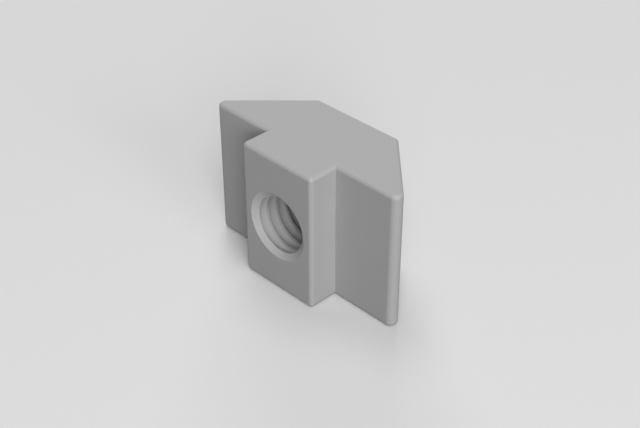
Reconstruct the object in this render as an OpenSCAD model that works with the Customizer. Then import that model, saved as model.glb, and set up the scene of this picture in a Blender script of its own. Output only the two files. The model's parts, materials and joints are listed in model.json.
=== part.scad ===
// T-slot nut: a neck that slides between the lips of an 8 mm slot, and a
// tapered flange that pulls up against the inside of the lips.
// One solid piece of steel, tapped right through from the neck to the back.
//
// The nut stands on one end: X is the width across the slot, Y runs from the
// neck (-Y) to the back face (+Y), and Z runs along the slot.
// The origin is the middle of the bottom end. Sizes are in millimetres.

/* [Body] */
// Length of the nut along the slot
nut_l = 12.5; // [8:0.5:30]
// Radius of every rounded edge, apart from the tips in plan
edge_r = 0.35; // [0.2:0.05:0.6]

/* [Neck] */
// Width of the neck between the lips of the slot
neck_w = 7.8; // [7.7:0.1:10]
// Height of the neck above the shoulders
neck_h = 2.7; // [1.2:0.1:4.5]

/* [Flange] */
// Width over the rounded tips
flange_w = 20.2; // [19:0.1:24]
// Thickness from the shoulders to the back face
flange_t = 6.5; // [4:0.1:7]
// Angle between the shoulders and the tapered sides
taper_angle = 45; // [44:1:60]
// Radius of the tips in plan
tip_r = 0.6; // [0.6:0.05:1.2]

/* [Thread] */
// Nominal diameter of the metric thread
thread_d = 6; // [3:0.5:6.5]
// Pitch of the thread
thread_pitch = 1; // [0.5:0.05:1.25]
// How much wider than the thread the chamfered mouths are
mouth_over = 0.1; // [0:0.05:0.3]
// Included angle of the chamfered mouths
mouth_angle = 110; // [60:5:120]

/* [Hidden] */
$fn = 96;

// Steps in a quarter turn of a rounded edge or corner
quarter_steps = 8;

// The hole is as the drill leaves it for the tap, narrower than the thread by
// one pitch, which is where the crests of the thread lie
bore_r = (thread_d - thread_pitch) / 2;
mouth_r = (thread_d + mouth_over) / 2;
mouth_depth = (mouth_r - bore_r) / tan(mouth_angle / 2);

// How far the shape cut away for the hole runs past the faces
clear_of_face = 1;

// Planes across the depth, with the origin half way between the outer two
depth = neck_h + flange_t;
front_y = -depth / 2;
shoulder_y = front_y + neck_h;
back_y = depth / 2;

// Centres of the rounded corners in plan, on the +X side. The neck is rooted
// behind the rounded front edges of the flange, so that its ends run into the
// flange's with no groove between them. The back corner is placed so that the
// side to the tip has the taper, although the two have different radii.
neck_front = [neck_w / 2 - edge_r, front_y + edge_r];
neck_root = [neck_front.x, shoulder_y + 2 * edge_r];
tip = [flange_w / 2 - tip_r, shoulder_y + tip_r];
back_corner_y = back_y - edge_r;
taper_fall = (back_corner_y - tip.y) / tan(taper_angle);
radius_shift = (tip_r - edge_r) / sin(taper_angle);
back_corner = [tip.x - taper_fall + radius_shift, back_corner_y];

// A plan is its corners, counter-clockwise, each written [centre, radius,
// direction in which its arc starts, angle through which it turns]
function mirrored(point) = [-point.x, point.y];
neck_plan = [
    [neck_front, edge_r, -90, 90],
    [neck_root, edge_r, 0, 90],
    [mirrored(neck_root), edge_r, 90, 90],
    [mirrored(neck_front), edge_r, 180, 90],
];
flange_plan = [
    [tip, tip_r, -90, 180 - taper_angle],
    [back_corner, edge_r, 90 - taper_angle, taper_angle],
    [mirrored(back_corner), edge_r, 90, taper_angle],
    [mirrored(tip), tip_r, 90 + taper_angle, 180 - taper_angle],
];

// The side of a block from the bottom up, as levels written [height, how far
// the plan is drawn in there]: a quarter circle in each rounded edge
roll_turns = [for (step = [0:quarter_steps]) 90 * step / quarter_steps];
bottom_roll = [for (turn = roll_turns) edge_r * [1 - cos(turn), 1 - sin(turn)]];
top_roll = [for (turn = roll_turns) [nut_l, 0] + edge_r * [sin(turn) - 1, 1 - cos(turn)]];
side_levels = concat(bottom_roll, top_roll);

// Points of one rounded corner, and of a whole plan, at one level
function corner_points(centre, radius, start, turn, level) =
    let (steps = ceil(quarter_steps * turn / 90), reach = radius - level[1])
        [for (step = [0:steps])
            let (angle = start + turn * step / steps)
                [centre.x + reach * cos(angle), centre.y + reach * sin(angle), level[0]]];
function ring(plan, level) =
    [for (corner = plan)
        each corner_points(corner[0], corner[1], corner[2], corner[3], level)];

// A block with every edge rounded: rings stacked from the bottom to the top,
// with a band of faces between each ring and the next
module rounded_block(plan) {
    rings = [for (level = side_levels) ring(plan, level)];
    around = len(rings[0]);
    last = len(rings) - 1;
    spots = [0:around - 1];
    bottom_face = [for (spot = spots) spot];
    top_face = [for (spot = spots) last * around + around - 1 - spot];
    bands = [for (i = [0:last - 1], spot = spots)
        let (beside = (spot + 1) % around, low = i * around, high = low + around)
            [low + spot, high + spot, high + beside, low + beside]];
    polyhedron([for (ring = rings) each ring], concat([bottom_face, top_face], bands));
}

module neck() {
    rounded_block(neck_plan);
}

module flange() {
    rounded_block(flange_plan);
}

// The hole that the thread is cut in, from the back face to the front of the
// neck, half way along the nut, with a chamfered mouth at each end
module tapped_hole() {
    translate([0, back_y, nut_l / 2])
        rotate([90, 0, 0])
            rotate_extrude()
                polygon([
                    [0, -clear_of_face],
                    [mouth_r, -clear_of_face],
                    [mouth_r, 0],
                    [bore_r, mouth_depth],
                    [bore_r, depth - mouth_depth],
                    [mouth_r, depth],
                    [mouth_r, depth + clear_of_face],
                    [0, depth + clear_of_face],
                ]);
}

module slot_nut() {
    color("silver")
        difference() {
            union() {
                flange();
                neck();
            }
            tapped_hole();
        }
}

slot_nut();
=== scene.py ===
# %% [markdown]
# # A t-slot nut
# This nut slides in the groove of an aluminium profile. Its neck runs between
# the lips of the groove, its flange pulls up behind them, and a screw runs
# through the middle. The real one is a single piece of steel: a bar is milled
# or drawn to the section, cut to length, tapped, blasted and plated.
#
# The engineering model already gives its outer size, its shoulders and its
# hole, so it is loaded first and everything is built to it.

# %% Load the engineering model
import json
import math

import bmesh
import bpy
from mathutils import Matrix, Vector


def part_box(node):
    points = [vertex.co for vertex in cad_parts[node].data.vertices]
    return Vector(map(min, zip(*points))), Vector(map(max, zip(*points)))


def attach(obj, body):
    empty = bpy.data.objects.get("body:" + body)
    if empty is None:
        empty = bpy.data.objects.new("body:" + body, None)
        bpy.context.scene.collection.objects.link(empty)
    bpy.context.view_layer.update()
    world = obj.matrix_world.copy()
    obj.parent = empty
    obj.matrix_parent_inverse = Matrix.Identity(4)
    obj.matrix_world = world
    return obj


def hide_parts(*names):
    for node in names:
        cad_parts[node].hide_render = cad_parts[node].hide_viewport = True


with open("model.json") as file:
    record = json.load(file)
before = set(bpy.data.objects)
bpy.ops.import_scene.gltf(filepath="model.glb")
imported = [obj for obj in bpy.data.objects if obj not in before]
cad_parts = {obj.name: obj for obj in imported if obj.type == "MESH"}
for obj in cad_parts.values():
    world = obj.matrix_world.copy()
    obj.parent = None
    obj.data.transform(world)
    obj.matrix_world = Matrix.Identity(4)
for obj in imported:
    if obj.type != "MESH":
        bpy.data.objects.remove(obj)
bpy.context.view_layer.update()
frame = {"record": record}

# %% [markdown]
# ## Sizes
# Blender works in metres, so millimetres are written as 7.8 * MM. Whatever the
# engineering model can tell is read from it: the box round the nut, the plane
# of the shoulders, and the place and radius of the hole. The other sizes are
# the maker's, and are named here once.
#
# X is the width, Y the depth from the neck to the back, and Z the length. The
# nut stands on one end.

# %% Sizes of the nut
MM = 0.001
low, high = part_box("slot_nut")
mounts = {mount["name"]: mount for mount in frame["record"]["mounts"]}

nut_length = high.z - low.z
flange_half = high.x
front_y, back_y = low.y, high.y
shoulder_y = mounts["shoulder_left"]["pos_m"][1]
neck_half = 3.9 * MM
edge_radius = 0.35 * MM
tip_radius = 0.6 * MM
taper = math.radians(45)

hole_centre = Vector((0, 0, mounts["thread"]["pos_m"][2]))
crest_radius = mounts["thread"]["dims"]["r_mm"] * MM
root_radius = 3.0 * MM
thread_pitch = 1.0 * MM
mouth_radius = 3.05 * MM
mouth_half_angle = math.radians(55)
mouth_depth = (mouth_radius - crest_radius) / math.tan(mouth_half_angle)
print("length", round(nut_length / MM, 2), "width", round(2 * flange_half / MM, 2),
      "depth", round((back_y - front_y) / MM, 2), "mouth depth", round(mouth_depth / MM, 3))

# %% [markdown]
# ## A block with rounded edges
# The neck and the flange are both upright blocks with every edge rounded. A
# Bevel is the quick way to do that, but the flange's tips are rounder than its
# other edges, and a bevel that meets a corner with two different widths pinches
# it.
#
# A sweep keeps each radius true. One upright outline of the block's side, with
# a quarter circle rolling over at each end, is the section. It is pushed along
# each side and spun round each corner until it meets itself, as a turned leg is
# run round a table top. Only the two flat ends are left to fill.

# %% Helper: the verts or edges of an operator's answer
ARC_STEPS = 8  # steps in a quarter turn
WELD = 0.001 * MM  # vertices nearer than this are the same one


def only(kind, elements):
    return [element for element in elements if isinstance(element, kind)]


def quarter_turns(angle):
    """Steps that keep an arc as fine as ARC_STEPS a quarter turn."""
    return max(2, round(ARC_STEPS * angle / math.radians(90)))


# %% Helper: the section that is swept
def side_section(bm, centre, radius):
    """The outline of a side that faces -Y, rolled over at both ends, round a corner at centre."""
    inner_y = centre.y - (radius - edge_radius)
    foot = bm.verts.new((centre.x, inner_y, 0))
    roll = {"axis": (-1, 0, 0), "angle": math.radians(90), "steps": ARC_STEPS}
    arc = bmesh.ops.spin(bm, geom=[foot], cent=(centre.x, inner_y, edge_radius), **roll)
    top = bmesh.ops.extrude_vert_indiv(bm, verts=only(bmesh.types.BMVert, arc["geom_last"]))["verts"]
    bmesh.ops.translate(bm, verts=top, vec=(0, 0, nut_length - 2 * edge_radius))
    bmesh.ops.spin(bm, geom=top, cent=(centre.x, inner_y, nut_length - edge_radius), **roll)
    return bm.edges[:]


# %% Helper: sweep the section round a plan
def rounded_block(name, corners):
    """corners are (centre, radius, turn) counter-clockwise, and the first side faces -Y."""
    bm = bmesh.new()
    section = side_section(bm, *corners[0][:2])
    outward = Vector((0, -1, 0))
    for (centre, radius, turn), (next_centre, next_radius, _) in zip(corners, corners[1:] + corners[:1]):
        verts = list({vert for edge in section for vert in edge.verts})
        spun = bmesh.ops.spin(bm, geom=verts + section, cent=centre, axis=(0, 0, 1), angle=turn,
                              steps=quarter_turns(turn))["geom_last"]
        outward.rotate(Matrix.Rotation(turn, 3, "Z"))
        pushed = bmesh.ops.extrude_edge_only(bm, edges=only(bmesh.types.BMEdge, spun))["geom"]
        bmesh.ops.translate(bm, verts=only(bmesh.types.BMVert, pushed),
                            vec=next_centre - centre + (next_radius - radius) * outward)
        section = only(bmesh.types.BMEdge, pushed)
    bmesh.ops.remove_doubles(bm, verts=bm.verts, dist=WELD)
    bmesh.ops.holes_fill(bm, edges=[edge for edge in bm.edges if edge.is_boundary], sides=0)
    return closed_object(name, bm)


# %% Helper: a closed solid with its faces outwards
def closed_object(name, bm):
    bmesh.ops.recalc_face_normals(bm, faces=bm.faces)
    if bm.calc_volume(signed=True) < 0:
        bmesh.ops.reverse_faces(bm, faces=bm.faces)
    open_edges = sum(not edge.is_manifold for edge in bm.edges)
    print(f"{name}: {len(bm.faces)} faces, {open_edges} open edges, {bm.calc_volume() / MM**3:.1f} mm3")
    mesh = bpy.data.meshes.new(name)
    bm.to_mesh(mesh)
    bm.free()
    solid = bpy.data.objects.new(name, mesh)
    bpy.context.scene.collection.objects.link(solid)
    return solid


# %% [markdown]
# ## The flange
# Seen from above the flange is a bar whose back corners are cut away at 45
# degrees, which leaves a sharp tip at each side. The tips turn through 135
# degrees and the back corners through 45, and together that is one full turn.
# The back corner's centre lies on a line parallel to the taper, so the taper is
# tangent to both arcs although one has a larger radius.

# %% Make the flange
tip = Vector((flange_half - tip_radius, shoulder_y + tip_radius, 0))
corner_y = back_y - edge_radius
fall = (corner_y - tip.y) / math.tan(taper) - (tip_radius - edge_radius) / math.sin(taper)
corner = Vector((tip.x - fall, corner_y, 0))
mirrored = Vector((-1, 1, 1))
flange = rounded_block("flange", [
    (tip, tip_radius, math.radians(180) - taper),
    (corner, edge_radius, taper),
    (corner * mirrored, edge_radius, taper),
    (tip * mirrored, tip_radius, math.radians(180) - taper),
])

# %% [markdown]
# ## The neck
# The neck is a plain block with square corners. It is rooted well inside the
# flange, behind the flange's own rounded edges, so that the two end faces run
# into one and no groove shows between them.

# %% Make the neck
neck_front = Vector((neck_half - edge_radius, front_y + edge_radius, 0))
neck_root = Vector((neck_half - edge_radius, shoulder_y + 2 * edge_radius, 0))
square = math.radians(90)
neck = rounded_block("neck", [
    (neck_front, edge_radius, square),
    (neck_root, edge_radius, square),
    (neck_root * mirrored, edge_radius, square),
    (neck_front * mirrored, edge_radius, square),
])

# %% [markdown]
# ## Joining and cutting
# The Boolean modifier adds solids or cuts one from another. Its Manifold solver
# is exact about closed solids like these. The result is kept as a mesh at once,
# and the tool is thrown away, as swarf is.

# %% Helper: add or cut
def combine(solid, tool, operation):
    step = solid.modifiers.new(operation, "BOOLEAN")
    step.operation, step.object, step.solver = operation, tool, "MANIFOLD"
    result = bpy.data.meshes.new_from_object(solid.evaluated_get(bpy.context.evaluated_depsgraph_get()))
    solid.modifiers.clear()
    solid.data = result
    bpy.data.objects.remove(tool)
    print(f"{operation.lower()}: {len(result.polygons)} faces")
    return solid


# %% Join the neck to the flange
threaded_nut = combine(flange, neck, "UNION")
threaded_nut.name = threaded_nut.data.name = "threaded_nut"

# %% [markdown]
# ## The tap
# A tap cuts the thread by turning and advancing one pitch a turn, and Spin does
# the same. Its section is one pitch of a 60 degree thread: a flat crest a
# quarter of a pitch wide, a flank, a flat root about a sixth wide, and a flank
# back to the next crest. Each step of the spin turns the section and shifts it a
# little, so after a turn it starts where the last one ended, and the turns weld
# into one screw.
#
# The screw is made longer than the hole. Two planes trim it where the chamfered
# mouths are narrowest, and the trimmed ends are filled.

# %% Section of one pitch
TURN_STEPS = 96
FIRST_CREST = 1.26 * MM  # depth of the back edge of a crest, at the start angle
start_angle = math.radians(-118)  # from +X towards +Z
flank = (root_radius - crest_radius) * math.tan(math.radians(30))
crest_flat = thread_pitch / 4
root_flat = thread_pitch - crest_flat - 2 * flank
profile = [(crest_radius, -crest_flat), (crest_radius, 0), (root_radius, flank),
           (root_radius, flank + root_flat), (crest_radius, 2 * flank + root_flat)]
print("root flat", round(root_flat / MM, 3), "mm, thread depth", round((root_radius - crest_radius) / MM, 3), "mm")

# %% Turn the section into a tap
turns = math.ceil((back_y - front_y) / thread_pitch) + 2
deepest = front_y + FIRST_CREST + (turns - 2) * thread_pitch
bm = bmesh.new()
outward = Vector((math.cos(start_angle), 0, math.sin(start_angle)))
chain = [bm.verts.new(hole_centre + radius * outward + Vector((0, deepest + depth, 0)))
         for radius, depth in profile]
for one, other in zip(chain, chain[1:]):
    bm.edges.new((one, other))
bmesh.ops.spin(bm, geom=bm.verts[:] + bm.edges[:], cent=hole_centre, axis=(0, -1, 0),
               dvec=(0, -thread_pitch / TURN_STEPS, 0), angle=turns * math.radians(360), steps=turns * TURN_STEPS)
bmesh.ops.remove_doubles(bm, verts=bm.verts, dist=WELD)
print(turns, "turns of", TURN_STEPS, "steps:", len(bm.faces), "faces")

# %% Trim the tap to the hole
RUN_OUT = 0.02 * MM  # how far the thread reaches into the chamfers
for plane_y, side in ((front_y + mouth_depth - RUN_OUT, -1), (back_y - mouth_depth + RUN_OUT, 1)):
    bmesh.ops.bisect_plane(bm, geom=bm.verts[:] + bm.edges[:] + bm.faces[:], dist=WELD / 100,
                           plane_co=(0, plane_y, 0), plane_no=(0, side, 0), clear_outer=True)
    bmesh.ops.holes_fill(bm, edges=[edge for edge in bm.edges if edge.is_boundary
                                    and all(abs(vert.co.y - plane_y) < WELD for vert in edge.verts)], sides=0)
tap = closed_object("tap", bm)

# %% [markdown]
# ## The chamfered mouths
# A countersink leads the screw in. Its cone starts a little outside the face and
# runs on past the thread's crests, because a cut that ends exactly on another
# surface leaves slivers.

# %% Countersinks, front and back
CLEAR = 0.3 * MM  # how far a countersink runs past each end of its chamfer
mouths = []
for face_y, inward in ((front_y, 1), (back_y, -1)):
    bm = bmesh.new()
    bmesh.ops.create_cone(bm, cap_ends=True, segments=TURN_STEPS, depth=2 * CLEAR + mouth_depth,
                          radius1=mouth_radius + CLEAR * math.tan(mouth_half_angle),
                          radius2=crest_radius - CLEAR * math.tan(mouth_half_angle))
    bmesh.ops.rotate(bm, verts=bm.verts, matrix=Matrix.Rotation(math.radians(-90 * inward), 3, "X"))
    bmesh.ops.translate(bm, verts=bm.verts, vec=hole_centre + Vector((0, face_y + inward * mouth_depth / 2, 0)))
    mouths.append(closed_object("mouth", bm))

# %% Cut the hole
for tool in (tap, *mouths):
    combine(threaded_nut, tool, "DIFFERENCE")

# %% [markdown]
# ## Shading
# The rounded edges are made of narrow facets. Smooth shading blends them, but it
# would also bend the light over the large flat faces. Two settings prevent that:
# edges that turn by more than 30 degrees stay sharp, and the Weighted Normal
# modifier lets a large face decide the normals at its border.

# %% Smooth the rounds and keep the flats flat
bm = bmesh.new()
bm.from_mesh(threaded_nut.data)
bmesh.ops.remove_doubles(bm, verts=bm.verts, dist=WELD / 10)
bmesh.ops.dissolve_degenerate(bm, edges=bm.edges, dist=WELD / 10)
for face in bm.faces:
    face.smooth = True
for edge in bm.edges:
    edge.smooth = edge.calc_face_angle(0) < math.radians(30)
print("nut:", len(bm.faces), "faces,", sum(not edge.smooth for edge in bm.edges), "sharp edges,",
      sum(not edge.is_manifold for edge in bm.edges), "open edges,", round(bm.calc_volume() / MM**3, 1), "mm3")
bm.to_mesh(threaded_nut.data)
bm.free()
weighted = threaded_nut.modifiers.new("weighted normals", "WEIGHTED_NORMAL")
weighted.weight, weighted.keep_sharp = 100, True

# %% [markdown]
# ## A small language for shader nodes
# Shader maths takes many small nodes. Wrapping a socket in a class with Python's
# operators lets it be written as plain arithmetic, so that 1 - mask * 0.2 adds
# its own Math nodes.

# %% Helper: arithmetic on sockets
class Value:
    def __init__(self, finish, socket):
        self.finish, self.socket = finish, socket

    def math(self, operation, first, second):
        return self.finish.node("ShaderNodeMath", {"operation": operation}, {0: first, 1: second})

    def __add__(self, other):
        return self.math("ADD", self, other)

    def __sub__(self, other):
        return self.math("SUBTRACT", self, other)

    def __rsub__(self, other):
        return self.math("SUBTRACT", other, self)

    def __mul__(self, other):
        return self.math("MULTIPLY", self, other)

    __radd__ = __add__
    __rmul__ = __mul__


# %% Helper: a plain grey
def grey(level):
    return (level, level, level, 1)


# %% Helper: one finish and its nodes
class Finish:
    """The nodes of a material or of the world."""

    def __init__(self, owner):
        owner.use_nodes = True
        self.tree = owner.node_tree
        self.tree.nodes.clear()

    def node(self, kind, settings=None, inputs=None, output=0):
        """Adds a node, sets it, feeds its sockets with numbers or links, and returns one output."""
        made = self.tree.nodes.new(kind)
        for name, setting in (settings or {}).items():
            setattr(made, name, setting)
        for name, value in (inputs or {}).items():
            if isinstance(value, Value):
                self.tree.links.new(value.socket, made.inputs[name])
            else:
                made.inputs[name].default_value = value
        return Value(self, made.outputs[output]) if len(made.outputs) else made

    def mix(self, factor, colour_a, colour_b):
        sockets = {0: factor, 6: colour_a, 7: colour_b}
        return self.node("ShaderNodeMix", {"data_type": "RGBA"}, sockets, output=2)

    def ramp(self, value, start, end):
        """0 at start and 1 at end, eased at both."""
        return self.node("ShaderNodeMapRange", {"interpolation_type": "SMOOTHSTEP"},
                         {"Value": value, "From Min": start, "From Max": end, "To Min": 0.0, "To Max": 1.0})

    def seen(self):
        """1 where something is looked at, directly or in a reflection, and 0 where it only gives light."""
        rays = [self.node("ShaderNodeLightPath", output=kind)
                for kind in ("Is Camera Ray", "Is Glossy Ray", "Is Transmission Ray")]
        return self.node("ShaderNodeMath", {"operation": "MINIMUM"}, {0: rays[0] + rays[1] + rays[2], 1: 1.0})

    def surface(self, shader):
        self.node("ShaderNodeOutputMaterial", inputs={"Surface": shader})


# %% [markdown]
# ## Plated steel
# The nut is blasted before it is plated, so it is matte: a fine, even grain that
# scatters the light, with hardly a highlight. Up close the plating's tone drifts
# a little. The rounded edges are rubbed slightly smoother where nuts lie against
# each other in the tray. The hole is tapped and countersunk after the blasting,
# so its mouths and crests are cleaner and lighter. The thread's roots between
# the crests are painted darker as shade, and the whole thread is painted darker
# deep in the hole than near the mouths, as painted shade.
#
# The grain and the drift are Noise textures on Object coordinates, so that they
# stay on the steel. The rest is found from the shape. Where the surface has
# turned away from all of the nut's flat faces it is a rounded edge, and a few dot
# products find that. The hole's parts are told by their distance from its axis
# and their depth along it.

# %% Grain and drift
steel_material = bpy.data.materials.new("plated_steel")
steel = Finish(steel_material)
place = steel.node("ShaderNodeTexCoord", output="Object")


def noise(size, detail, roughness=0.5):
    """Noise whose lumps are about size across."""
    return steel.node("ShaderNodeTexNoise", inputs={"Vector": place, "Scale": 1 / size, "Detail": detail,
                                                    "Roughness": roughness}, output=0)


grain = noise(0.16 * MM, 2.0, 0.6)
pits = noise(0.45 * MM, 2.0)
drift = noise(4.0 * MM, 3.0)
print("grain 0.16 mm, pits 0.45 mm, drift 4 mm across:", len(steel.tree.nodes), "nodes so far")

# %% Where the edges are rounded
FLAT, TURNED = 0.995, 0.94  # how closely a surface still faces the nearest flat: the cosine of the angle
facing = steel.node("ShaderNodeTexCoord", output="Normal")


def toward(direction):
    """1 where the surface faces along the direction or against it, and less as it turns away."""
    dot = steel.node("ShaderNodeVectorMath", {"operation": "DOT_PRODUCT"}, {0: facing, 1: direction},
                     output="Value")
    return steel.node("ShaderNodeMath", {"operation": "ABSOLUTE"}, {0: dot})


sideways, backwards = math.cos(taper), math.sin(taper)
flatness = toward((1, 0, 0))
for direction in ((0, 1, 0), (0, 0, 1), (sideways, backwards, 0), (-sideways, backwards, 0)):
    flatness = steel.node("ShaderNodeMath", {"operation": "MAXIMUM"}, {0: flatness, 1: toward(direction)})
rubbed = steel.ramp(flatness, FLAT, TURNED) * (0.5 + 0.5 * steel.ramp(drift, 0.4, 0.6))
print("edge mask:", len(steel.tree.nodes), "nodes so far")

# %% Where the hole was cut, and where its thread is deep
BORDER = 0.03 * MM  # width of the soft border round the mouths
BLEND = 0.1 * MM  # width of the soft borders in the thread
DEEP_SHADE_START, DEEP_SHADE_FULL = 2.4 * MM, 0.2 * MM  # distance from the nut's middle plane where the painted deep shade starts and where it is full
x, y, z = (steel.node("ShaderNodeSeparateXYZ", inputs={"Vector": place}, output=axis) for axis in range(3))
z = z - hole_centre.z
from_axis = steel.node("ShaderNodeMath", {"operation": "SQRT"}, {0: x * x + z * z})
cut = steel.ramp(from_axis, mouth_radius + BORDER, mouth_radius)
past_front = steel.ramp(y, front_y + mouth_depth, front_y + mouth_depth + BLEND)
past_back = steel.ramp(y, back_y - mouth_depth, back_y - mouth_depth - BLEND)
threaded = cut * past_front * past_back
# painted shade: the thread's roots, between the crests, are painted darker
root_shade = threaded * steel.ramp(from_axis, crest_radius + BLEND, root_radius)
from_centre = steel.node("ShaderNodeMath", {"operation": "ABSOLUTE"}, {0: y})
# painted shade: the thread is painted darker towards the middle of the hole
deep_shade = threaded * steel.ramp(from_centre, DEEP_SHADE_START, DEEP_SHADE_FULL)
print("hole masks: cut within", round(mouth_radius / MM, 2), "mm of the axis, grooves beyond",
      round((crest_radius + BLEND) / MM, 2), "mm")

# %% Put the finish together
STEEL_DARK = grey(0.405)
STEEL_LIGHT = grey(0.455)
STEEL_RUBBED = grey(0.44)
STEEL_CUT = grey(0.49)
# painted shade for the thread's roots
ROOT_SHADE_GREY = grey(0.25)
# painted shade deep in the hole
DEEP_SHADE_GREY = grey(0.15)
tone = drift * 0.5 + grain * 0.35 + pits * 0.15
colour = steel.mix(tone, STEEL_DARK, STEEL_LIGHT)
colour = steel.mix(rubbed * 0.5, colour, STEEL_RUBBED)
colour = steel.mix(cut - threaded * 0.2, colour, STEEL_CUT)
# painted shade in the thread's roots
colour = steel.mix(root_shade * 0.25, colour, ROOT_SHADE_GREY)
# painted shade, darker deep in the hole and darkest in its roots
colour = steel.mix(deep_shade * (0.16 + root_shade * 0.5), colour, DEEP_SHADE_GREY)
height = grain * 0.7 + pits * 0.3
bump = steel.node("ShaderNodeBump", inputs={"Strength": 0.35, "Distance": 0.01 * MM, "Height": height})
steel.surface(steel.node("ShaderNodeBsdfPrincipled", inputs={
    "Base Color": colour,
    "Metallic": rubbed * 0.1,
    "Roughness": 0.75 + (drift - 0.5) * 0.12 - rubbed * 0.1 - cut * 0.05,
    "Normal": bump,
}))
threaded_nut.data.materials.clear()
threaded_nut.data.materials.append(steel_material)
print("finish:", steel_material.name, len(steel.tree.nodes), "nodes")

# %% Put the nut in place of the engineering model
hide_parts("slot_nut")
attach(threaded_nut, "root")
print(threaded_nut.name, "stands for slot_nut and rides on root")

# %% [markdown]
# ## The floor
# The floor is one plain sheet. It should look pale, but a pale sheet also throws
# light up at everything that stands on it, and that flattens a small grey part.
# The Light Path node tells the two jobs apart. Rays that look at the floor,
# straight, in a reflection or through glass, find its pale colour, and rays that
# only carry light find a darker one.
#
# A sheet that simply ends shows a horizon in the low views. A Mix Shader lets
# this one fade out instead, well away from the nut, into the world behind it.

# %% Lay the sheet
FLOOR_HALF = 0.6
bm = bmesh.new()
bmesh.ops.create_grid(bm, x_segments=1, y_segments=1, size=FLOOR_HALF)
floor_mesh = bpy.data.meshes.new("floor")
bm.to_mesh(floor_mesh)
bm.free()
floor = bpy.data.objects.new("floor", floor_mesh)
bpy.context.scene.collection.objects.link(floor)
print("floor:", 2 * FLOOR_HALF, "m square")

# %% Paint it
FLOOR_COLOUR = grey(0.82)
FLOOR_BOUNCE = grey(0.14)
FADE = (0.07, 0.22)  # metres from the nut where the sheet starts to fade and where it has gone
floor_material = bpy.data.materials.new("floor_paint")
paint = Finish(floor_material)
spot = paint.node("ShaderNodeTexCoord", output="Object")
from_middle = paint.node("ShaderNodeVectorMath", {"operation": "LENGTH"}, {0: spot}, output="Value")
sheet = paint.node("ShaderNodeBsdfDiffuse", inputs={"Color": paint.mix(paint.seen(), FLOOR_BOUNCE, FLOOR_COLOUR)})
clear = paint.node("ShaderNodeBsdfTransparent")
paint.surface(paint.node("ShaderNodeMixShader", inputs={0: paint.ramp(from_middle, *FADE), 1: sheet, 2: clear}))
floor_mesh.materials.append(floor_material)
print("paint: plain for", FADE[0], "m round the nut, gone at", FADE[1], "m")

# %% [markdown]
# ## Lamps
# All the lamps are wide discs, half as wide as they are far, so every shadow and
# every change of tone round an edge is soft. Two key lamps stand to the right of
# the neck, one low and one high, and share the work, because one lamp there would
# light the top and the front in the wrong proportion. A side lamp lifts the
# neck's side above its front. Two more stand behind, for the back and the tapers.
#
# They are kept low enough for a mid grey to come out as the grey it is.

# %% Helper: aim a lamp or camera
def aim(thing, azimuth, elevation):
    """Turns it to look from an angle, and returns the way back to it. Azimuth 0 is in front, 90 on the +X side."""
    around, above = math.radians(azimuth), math.radians(elevation)
    back = Vector((math.sin(around) * math.cos(above), -math.cos(around) * math.cos(above), math.sin(above)))
    thing.rotation_mode = "QUATERNION"
    thing.rotation_quaternion = (-back).to_track_quat("-Z", "Y")
    return back


# %% Five soft lamps
LAMP_DISTANCE, LAMP_SIZE = 0.6, 0.3
middle = Vector((0, 0, nut_length / 2))
for name, azimuth, elevation, watts in (
        ("key_low", 50, 20, 1.43),
        ("key_high", 50, 50, 0.97),
        ("side", 80, 20, 0.94),
        ("behind_high", 240, 70, 0.8),
        ("behind_low", 230, 20, 1.0)):
    lamp = bpy.data.lights.new(name, "AREA")
    lamp.shape, lamp.size, lamp.energy = "DISK", LAMP_SIZE, watts
    holder = bpy.data.objects.new(name, lamp)
    bpy.context.scene.collection.objects.link(holder)
    holder.location = middle + LAMP_DISTANCE * aim(holder, azimuth, elevation)
    print(f"{name}: {watts} W from {azimuth} degrees round, {elevation} up")

# %% [markdown]
# ## The world
# The world does two jobs as the floor does. Its light is dim and even, and keeps
# the inner corners and the hole from going black. What is seen of it is as pale as
# the floor, so the floor fades into it with no line.

# %% Make the world
WORLD_LIGHT = grey(0.163)
WORLD_COLOUR = grey(0.73)
world = bpy.data.worlds.new("studio")
studio = Finish(world)
glow = studio.mix(studio.seen(), WORLD_LIGHT, WORLD_COLOUR)
background = studio.node("ShaderNodeBackground", inputs={"Color": glow})
studio.node("ShaderNodeOutputWorld", inputs={"Surface": background})
bpy.context.scene.world = world
print("world: light", WORLD_LIGHT[0], "seen", WORLD_COLOUR[0])

# %% [markdown]
# ## The camera
# A 66 mm lens stands a hand's breadth away, 45 degrees round to the right of the
# neck and 35 degrees up, so the top, the threaded front and one side are all seen.
# At such a short distance the upright edges draw together a little towards the
# floor, as they do in any close view of a small part.

# %% Set up the camera
camera_data = bpy.data.cameras.new("camera")
camera_data.sensor_width, camera_data.lens = 36, 65.82
camera_data.clip_start, camera_data.clip_end = 0.005, 10
camera = bpy.data.objects.new("camera", camera_data)
bpy.context.scene.collection.objects.link(camera)
aim(camera, 45.117, 34.858)
camera.location = (0.056376, -0.055891, 0.060522)
bpy.context.scene.camera = camera
bpy.context.scene.view_settings.view_transform = "Standard"
print("camera:", [round(1000 * side, 1) for side in camera.location], "mm,", camera_data.lens, "mm lens")
